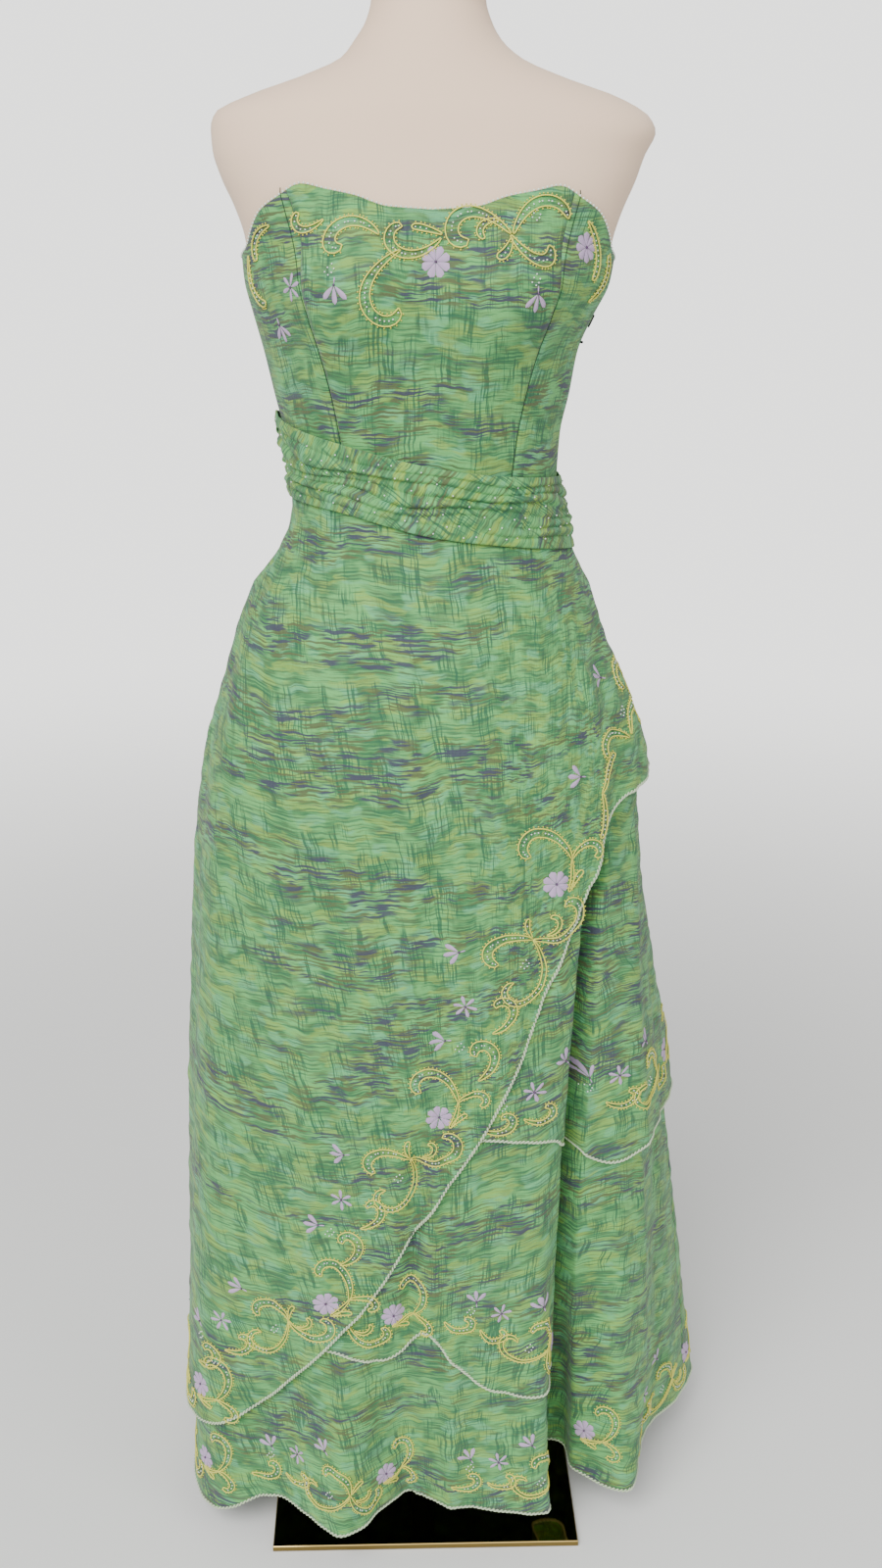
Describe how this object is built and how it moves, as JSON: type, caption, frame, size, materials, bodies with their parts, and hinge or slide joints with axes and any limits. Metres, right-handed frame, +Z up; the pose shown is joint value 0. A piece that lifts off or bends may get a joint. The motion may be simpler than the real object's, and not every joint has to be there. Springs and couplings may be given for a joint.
{
  "type": "strapless gown on a limbless dress form",
  "caption": "Strapless floor-length gown with a gathered sash, slanting overlay and tiered skirt, worn by a limbless dress form on a square base plate.",
  "frame": {"origin": "middle of the base plate's underside, on the surface that the stand rests on", "axes": "+Z up along the pole, the gown's front faces -Y, +X is the wearer's left"},
  "size_m": [0.5466, 0.4126, 1.452],
  "materials": {
    "polished_gold": "polished dark gold, mirror smooth",
    "pole_steel": "plain drawn tube",
    "form_jersey": "matte fine jersey, stretched smooth",
    "crinkled_cloth": "crinkled slub gauze in greens with grey-violet slubs, matte",
    "sash_cloth": "the same crinkled gauze cut on the bias and gathered, matte"
  },
  "bodies": {
    "root": {"base_plate": "polished_gold", "pole_flange": "pole_steel", "pole": "pole_steel", "pole_socket": "pole_steel", "dress_form": "form_jersey", "bodice_centre_front": "crinkled_cloth", "bodice_side_front_left": "crinkled_cloth", "bodice_side_front_right": "crinkled_cloth", "bodice_back": "crinkled_cloth", "sash_front": "sash_cloth", "sash_back": "sash_cloth", "overlay_front": "crinkled_cloth", "overlay_back": "crinkled_cloth", "middle_tier_front": "crinkled_cloth", "middle_tier_back": "crinkled_cloth", "front_flounce": "crinkled_cloth", "underskirt_front": "crinkled_cloth", "underskirt_back": "crinkled_cloth"}
  },
  "joints": []
}
